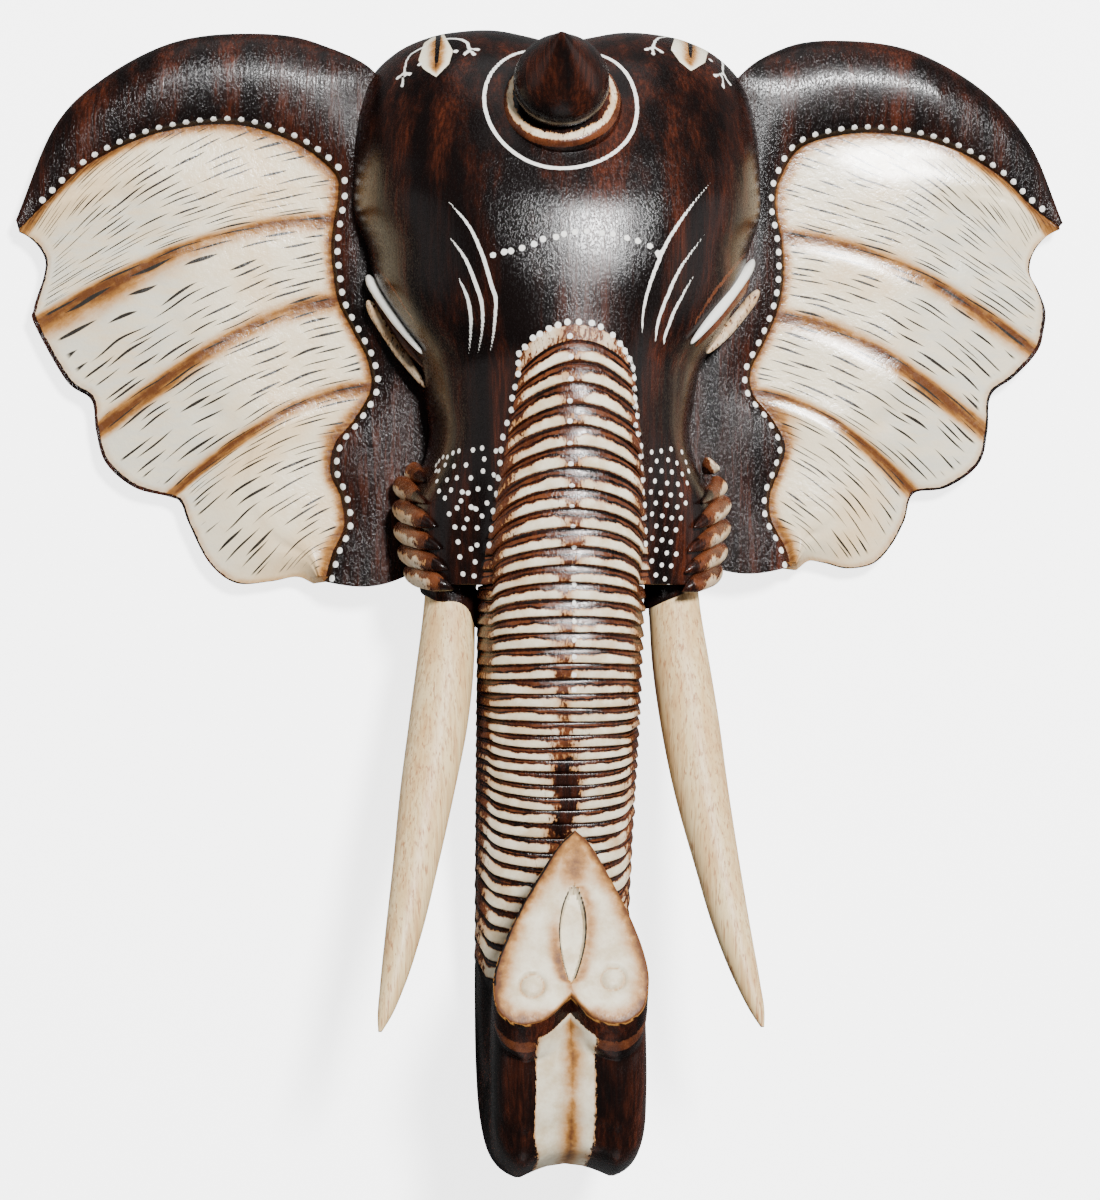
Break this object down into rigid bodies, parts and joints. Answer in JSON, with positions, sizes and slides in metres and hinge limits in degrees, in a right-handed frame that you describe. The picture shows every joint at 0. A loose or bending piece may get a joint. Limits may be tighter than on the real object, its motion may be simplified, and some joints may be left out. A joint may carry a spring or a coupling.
{
  "type": "elephant mask",
  "caption": "Carved and painted wooden elephant head wall mask with spread ears, ribbed curling trunk, tusks and a pointed forehead knob.",
  "frame": {"origin": "middle of the mask's outline, on the flat back plane it rests on", "axes": "+X to the right as one looks at the face, +Y up to the crown, +Z out of the face towards the viewer"},
  "size_m": [0.472, 0.5006, 0.1246],
  "materials": {
    "dark_lacquered_wood": "dark brown glossy lacquer over carved wood, with cream dry-brushed ribs, white painted dots and reddish wear on the grain",
    "painted_ear_wood": "glossy ivory paint with smoky brown veins and thin dark strokes inside a dark lacquered rim",
    "bare_pale_wood": "bare sanded pale wood with long straight grain and fine pores"
  },
  "bodies": {
    "root": {"head": "dark_lacquered_wood", "left_ear": "painted_ear_wood", "right_ear": "painted_ear_wood", "left_tusk": "bare_pale_wood", "right_tusk": "bare_pale_wood"}
  },
  "joints": []
}
